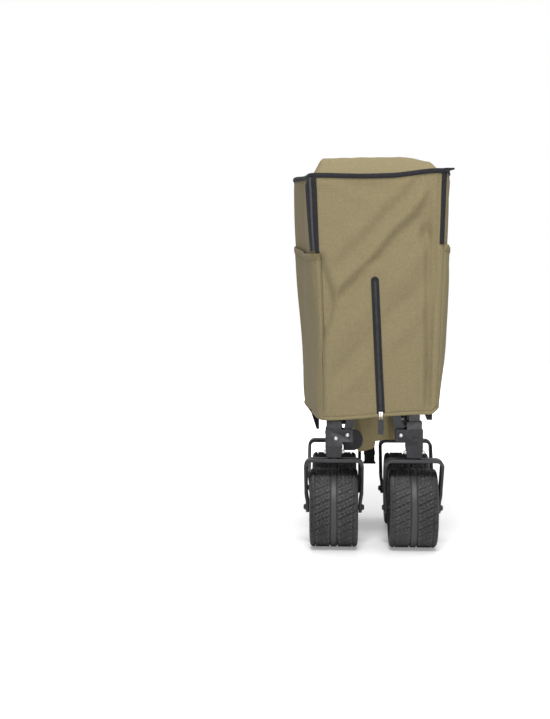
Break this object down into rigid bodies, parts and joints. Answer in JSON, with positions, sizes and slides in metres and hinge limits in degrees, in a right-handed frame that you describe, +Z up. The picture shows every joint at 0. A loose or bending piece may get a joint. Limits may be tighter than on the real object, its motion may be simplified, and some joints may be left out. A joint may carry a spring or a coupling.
{
  "type": "wagon with pull handle",
  "caption": "Beach wagon folded upright in its fitted cloth cover, on wide swivelling casters, with a telescopic pull handle inside.",
  "frame": {"origin": "on the ground below the centre of the bounding box", "axes": "+Z up, +Y towards the end with the pull handle, +X to the right seen from the other end"},
  "size_m": [0.3552, 0.422, 0.8],
  "materials": {
    "tyre_rubber": "moulded rubber with a road tread",
    "rim_plastic": "moulded",
    "bearing_plastic": "moulded",
    "black_steel": "satin black powder coat",
    "dark_fastener": "blackened steel",
    "black_moulding": "moulded black plastic",
    "handle_tube": "satin",
    "grip_rubber": "soft moulded",
    "bright_rivet": "bright",
    "tub_cloth": "olive beige woven polyester",
    "black_tape": "black woven binding tape",
    "zip_metal": "nickel plated",
    "pull_plastic": "moulded dark grey",
    "cover_cloth": "khaki woven polyester"
  },
  "bodies": {
    "frame": {"brackets_front": "black_moulding", "brackets_rear": "black_moulding", "caster_mounts": "black_moulding", "end_bars_front": "black_steel", "end_bars_rear": "black_steel", "handle_bracket": "black_moulding", "handle_collar": "black_moulding", "handle_outer_tube": "black_steel", "handle_pivot_pin": "bright_rivet", "handle_stays": "black_steel", "post_caps": "black_moulding", "post_front_left": "black_steel", "post_front_right": "black_steel", "post_rear_left": "black_steel", "post_rear_right": "black_steel", "post_sliders": "black_moulding", "rivet_heads": "bright_rivet", "scissor_pins": "bright_rivet", "side_bars_left": "black_steel", "side_bars_right": "black_steel", "tub_fabric": "tub_cloth"},
    "caster_rear_left": {"fork_rear_left": "black_steel", "axle_rear_left": "dark_fastener", "swivel_stem_rear_left": "black_moulding"},
    "wheel_rear_left": {"tyre_rear_left": "tyre_rubber", "rim_rear_left": "rim_plastic", "bearings_rear_left": "bearing_plastic"},
    "caster_rear_right": {"fork_rear_right": "black_steel", "axle_rear_right": "dark_fastener", "swivel_stem_rear_right": "black_moulding"},
    "wheel_rear_right": {"tyre_rear_right": "tyre_rubber", "rim_rear_right": "rim_plastic", "bearings_rear_right": "bearing_plastic"},
    "caster_front_left": {"fork_front_left": "black_steel", "axle_front_left": "dark_fastener", "swivel_stem_front_left": "black_moulding"},
    "wheel_front_left": {"tyre_front_left": "tyre_rubber", "rim_front_left": "rim_plastic", "bearings_front_left": "bearing_plastic"},
    "caster_front_right": {"fork_front_right": "black_steel", "axle_front_right": "dark_fastener", "swivel_stem_front_right": "black_moulding"},
    "wheel_front_right": {"tyre_front_right": "tyre_rubber", "rim_front_right": "rim_plastic", "bearings_front_right": "bearing_plastic"},
    "handle_slide": {"handle_inner_tube": "handle_tube", "handle_grip": "grip_rubber"},
    "lock_button": {"handle_lock_button": "black_moulding"},
    "cover": {"cover_edge_binding": "black_tape", "cover_front_panel": "cover_cloth", "cover_hem_tabs": "black_tape", "cover_left_panel": "cover_cloth", "cover_pocket_left": "cover_cloth", "cover_pocket_right": "cover_cloth", "cover_rear_panel": "cover_cloth", "cover_right_panel": "cover_cloth", "cover_top_panel": "cover_cloth", "zip_tape": "black_tape"},
    "zip_runner": {"zip_slider": "zip_metal"},
    "zip_pull": {"zip_pull_tab": "pull_plastic"}
  },
  "joints": [
    {"name": "handle_extend", "type": "slide", "parent": "frame", "child": "handle_slide", "axis": [0, 0, 1], "range_m": [0, 0.32]},
    {"name": "lock_button_press", "type": "slide", "parent": "frame", "child": "lock_button", "axis": [0, -1, 0], "range_m": [0, 0.003], "stiffness_N_per_m": 500},
    {"name": "cover_lift", "type": "slide", "parent": "handle_slide", "child": "cover", "axis": [0, 0, 1], "range_m": [0, 0.62]},
    {"name": "zip_slide", "type": "slide", "parent": "cover", "child": "zip_runner", "axis": [-0.0481, 0, 0.9988], "range_m": [0, 0.262]},
    {"name": "zip_pull_swing", "type": "hinge", "parent": "zip_runner", "child": "zip_pull", "pos_m": [0.01253, -0.2073, 0.27252], "axis": [1, 0, 0], "range_deg": [-120, 0]},
    {"name": "swivel_rear_left", "type": "hinge", "parent": "frame", "child": "caster_rear_left", "pos_m": [-0.08, -0.171, 0.186], "axis": [0, 0, 1], "range_deg": [-12, 12]},
    {"name": "spin_rear_left", "type": "hinge", "parent": "caster_rear_left", "child": "wheel_rear_left", "pos_m": [-0.08, -0.131, 0.08], "axis": [1, 0, 0], "continuous": true},
    {"name": "swivel_rear_right", "type": "hinge", "parent": "frame", "child": "caster_rear_right", "pos_m": [0.08, -0.171, 0.186], "axis": [0, 0, 1], "range_deg": [-12, 12]},
    {"name": "spin_rear_right", "type": "hinge", "parent": "caster_rear_right", "child": "wheel_rear_right", "pos_m": [0.08, -0.131, 0.08], "axis": [1, 0, 0], "continuous": true},
    {"name": "swivel_front_left", "type": "hinge", "parent": "frame", "child": "caster_front_left", "pos_m": [-0.08, 0.153, 0.186], "axis": [0, 0, 1], "range_deg": [-12, 12]},
    {"name": "spin_front_left", "type": "hinge", "parent": "caster_front_left", "child": "wheel_front_left", "pos_m": [-0.08, 0.113, 0.08], "axis": [1, 0, 0], "continuous": true},
    {"name": "swivel_front_right", "type": "hinge", "parent": "frame", "child": "caster_front_right", "pos_m": [0.08, 0.153, 0.186], "axis": [0, 0, 1], "range_deg": [-12, 12]},
    {"name": "spin_front_right", "type": "hinge", "parent": "caster_front_right", "child": "wheel_front_right", "pos_m": [0.08, 0.113, 0.08], "axis": [1, 0, 0], "continuous": true}
  ]
}
